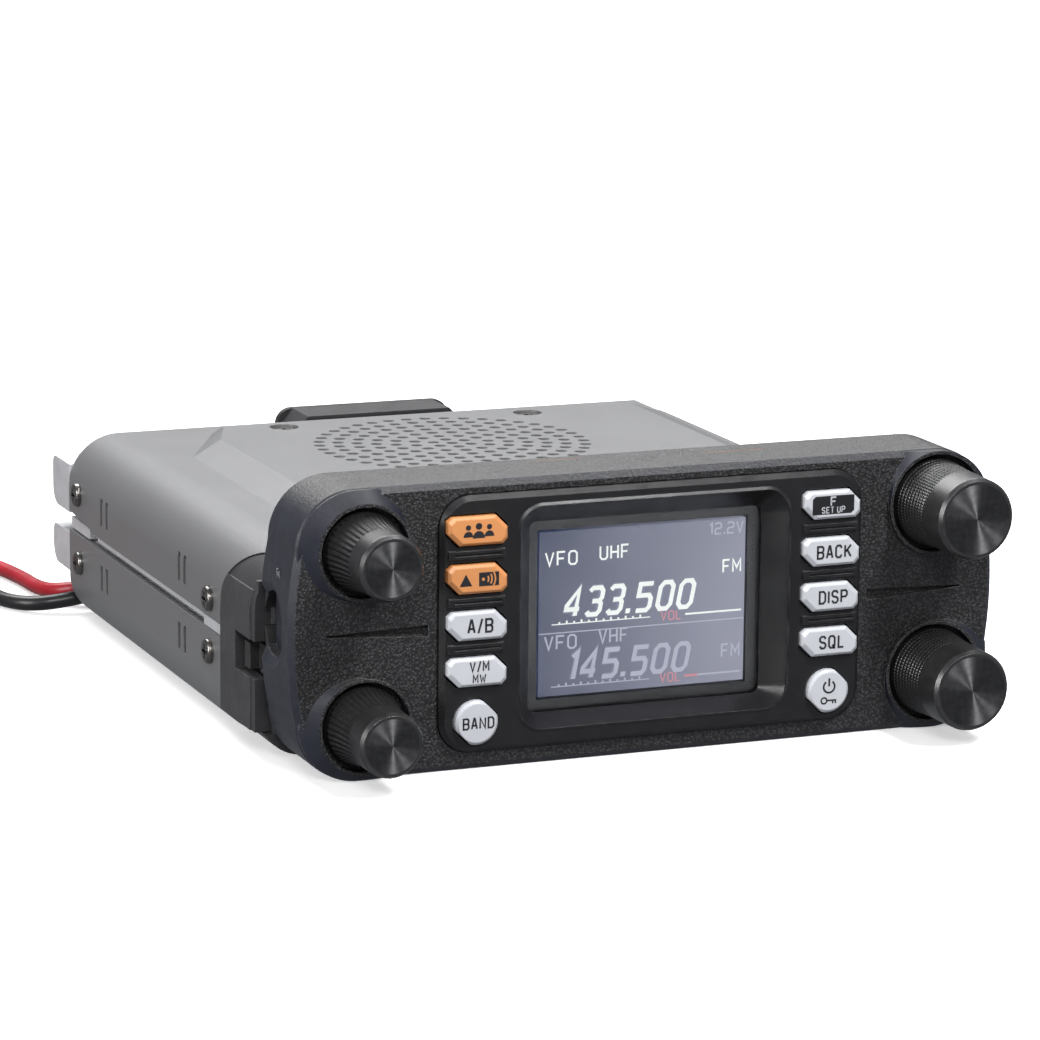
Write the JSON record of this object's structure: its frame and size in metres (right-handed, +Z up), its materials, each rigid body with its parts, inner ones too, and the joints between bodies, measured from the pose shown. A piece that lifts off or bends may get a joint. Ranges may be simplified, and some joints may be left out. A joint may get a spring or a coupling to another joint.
{
  "type": "mobile transceiver",
  "caption": "Compact vehicle radio: flat metal-cased unit with a speaker grille and rear fan, and a wide clip-on control head with colour display, keys and knobs.",
  "frame": {"origin": "middle of the radio unit's flat base", "axes": "+Z up, front (display side) towards -Y, +X to the right as seen from the front"},
  "size_m": [0.2086, 0.2275, 0.053],
  "materials": {
    "head_shell": "fine leather-grain moulding, satin side band",
    "head_back": "plain moulded",
    "key_plate": "satin moulding",
    "key_orange": "satin key cap",
    "key_white": "satin key cap",
    "rubber_dark": "moulded silicone",
    "switch_metal": "stamped",
    "window_glass": "clear",
    "display_metal": "stamped frame",
    "screen": "lit panel",
    "board_green": "solder mask",
    "tin": "tinned",
    "encoder": "moulded",
    "steel": "turned",
    "knob_black": "black anodised, spun face",
    "bracket_plastic": "fine grain",
    "cover_grey": "satin grey paint, fine grain",
    "casting": "bead-blasted die casting",
    "speaker_steel": "pressed",
    "speaker_paper": "pressed paper",
    "magnet": "ferrite",
    "fan_black": "moulded",
    "screw_steel": "blackened",
    "brass_plated": "nickel plated",
    "insulator": "moulded insulator",
    "lead_red": "flexible insulation",
    "lead_black": "flexible insulation",
    "plug_plastic": "moulded nylon"
  },
  "bodies": {
    "radio": {"head_front": "head_shell", "head_rear": "head_back", "head_screws": "screw_steel", "key_plate": "key_plate", "keypad": "rubber_dark", "key_switches": "switch_metal", "display_window": "window_glass", "display_frame": "display_metal", "display_panel": "screen", "head_board": "board_green", "card_socket": "tin", "encoder_bodies": "encoder", "bracket": "bracket_plastic", "top_cover": "cover_grey", "bottom_cover": "cover_grey", "chassis": "casting", "main_board": "board_green", "shield_cans": "tin", "power_module": "encoder", "speaker_basket": "speaker_steel", "speaker_cone": "speaker_paper", "speaker_magnet": "magnet", "fan_frame": "fan_black", "fan_guard": "fan_black", "fan_screws": "screw_steel", "antenna_socket": "brass_plated", "antenna_contact": "insulator", "speaker_jacks": "encoder", "data_jack": "encoder", "modular_jack": "encoder", "cover_screws": "screw_steel", "board_screws": "steel", "lead_grommet": "rubber_dark", "lead_red": "lead_red", "lead_black": "lead_black", "lead_plug": "plug_plastic"},
    "fan": {"fan_rotor": "fan_black"},
    "dial_left_upper": {"rotor_left_upper": "encoder"},
    "knob_left_upper": {"shaft_left_upper": "steel", "knob_left_upper": "knob_black"},
    "dial_left_lower": {"rotor_left_lower": "encoder"},
    "knob_left_lower": {"shaft_left_lower": "steel", "knob_left_lower": "knob_black"},
    "dial_right_upper": {"rotor_right_upper": "encoder"},
    "knob_right_upper": {"shaft_right_upper": "steel", "knob_right_upper": "knob_black"},
    "dial_right_lower": {"rotor_right_lower": "encoder"},
    "knob_right_lower": {"shaft_right_lower": "steel", "knob_right_lower": "knob_black"},
    "key_left_1": {"key_left_1": "key_orange"},
    "key_left_2": {"key_left_2": "key_orange"},
    "key_left_3": {"key_left_3": "key_white"},
    "key_left_4": {"key_left_4": "key_white"},
    "key_left_5": {"key_left_5": "key_white"},
    "key_right_1": {"key_right_1": "key_white"},
    "key_right_2": {"key_right_2": "key_white"},
    "key_right_3": {"key_right_3": "key_white"},
    "key_right_4": {"key_right_4": "key_white"},
    "key_right_5": {"key_right_5": "key_white"}
  },
  "joints": [
    {"name": "fan_turn", "type": "hinge", "parent": "radio", "child": "fan", "pos_m": [-0.002, 0.061, 0.0196], "axis": [0, 1, 0], "continuous": true},
    {"name": "turn_left_upper", "type": "hinge", "parent": "radio", "child": "dial_left_upper", "pos_m": [-0.0555, -0.079, 0.0416], "axis": [0, -1, 0], "continuous": true},
    {"name": "press_left_upper", "type": "slide", "parent": "dial_left_upper", "child": "knob_left_upper", "axis": [0, 1, 0], "range_m": [0, 0.0005], "stiffness_N_per_m": 4000, "springref_m": -0.0003},
    {"name": "turn_left_lower", "type": "hinge", "parent": "radio", "child": "dial_left_lower", "pos_m": [-0.0554, -0.079, 0.0099], "axis": [0, -1, 0], "continuous": true},
    {"name": "press_left_lower", "type": "slide", "parent": "dial_left_lower", "child": "knob_left_lower", "axis": [0, 1, 0], "range_m": [0, 0.0005], "stiffness_N_per_m": 4000, "springref_m": -0.0003},
    {"name": "turn_right_upper", "type": "hinge", "parent": "radio", "child": "dial_right_upper", "pos_m": [0.057, -0.079, 0.043], "axis": [0, -1, 0], "continuous": true},
    {"name": "press_right_upper", "type": "slide", "parent": "dial_right_upper", "child": "knob_right_upper", "axis": [0, 1, 0], "range_m": [0, 0.0005], "stiffness_N_per_m": 4000, "springref_m": -0.0003},
    {"name": "turn_right_lower", "type": "hinge", "parent": "radio", "child": "dial_right_lower", "pos_m": [0.0571, -0.079, 0.0108], "axis": [0, -1, 0], "continuous": true},
    {"name": "press_right_lower", "type": "slide", "parent": "dial_right_lower", "child": "knob_right_lower", "axis": [0, 1, 0], "range_m": [0, 0.0005], "stiffness_N_per_m": 4000, "springref_m": -0.0003},
    {"name": "press_key_left_1", "type": "slide", "parent": "radio", "child": "key_left_1", "axis": [0, 1, 0], "range_m": [0, 0.0005], "stiffness_N_per_m": 2500, "springref_m": -0.0002},
    {"name": "press_key_left_2", "type": "slide", "parent": "radio", "child": "key_left_2", "axis": [0, 1, 0], "range_m": [0, 0.0005], "stiffness_N_per_m": 2500, "springref_m": -0.0002},
    {"name": "press_key_left_3", "type": "slide", "parent": "radio", "child": "key_left_3", "axis": [0, 1, 0], "range_m": [0, 0.0005], "stiffness_N_per_m": 2500, "springref_m": -0.0002},
    {"name": "press_key_left_4", "type": "slide", "parent": "radio", "child": "key_left_4", "axis": [0, 1, 0], "range_m": [0, 0.0005], "stiffness_N_per_m": 2500, "springref_m": -0.0002},
    {"name": "press_key_left_5", "type": "slide", "parent": "radio", "child": "key_left_5", "axis": [0, 1, 0], "range_m": [0, 0.0005], "stiffness_N_per_m": 2500, "springref_m": -0.0002},
    {"name": "press_key_right_1", "type": "slide", "parent": "radio", "child": "key_right_1", "axis": [0, 1, 0], "range_m": [0, 0.0005], "stiffness_N_per_m": 2500, "springref_m": -0.0002},
    {"name": "press_key_right_2", "type": "slide", "parent": "radio", "child": "key_right_2", "axis": [0, 1, 0], "range_m": [0, 0.0005], "stiffness_N_per_m": 2500, "springref_m": -0.0002},
    {"name": "press_key_right_3", "type": "slide", "parent": "radio", "child": "key_right_3", "axis": [0, 1, 0], "range_m": [0, 0.0005], "stiffness_N_per_m": 2500, "springref_m": -0.0002},
    {"name": "press_key_right_4", "type": "slide", "parent": "radio", "child": "key_right_4", "axis": [0, 1, 0], "range_m": [0, 0.0005], "stiffness_N_per_m": 2500, "springref_m": -0.0002},
    {"name": "press_key_right_5", "type": "slide", "parent": "radio", "child": "key_right_5", "axis": [0, 1, 0], "range_m": [0, 0.0005], "stiffness_N_per_m": 2500, "springref_m": -0.0002}
  ]
}
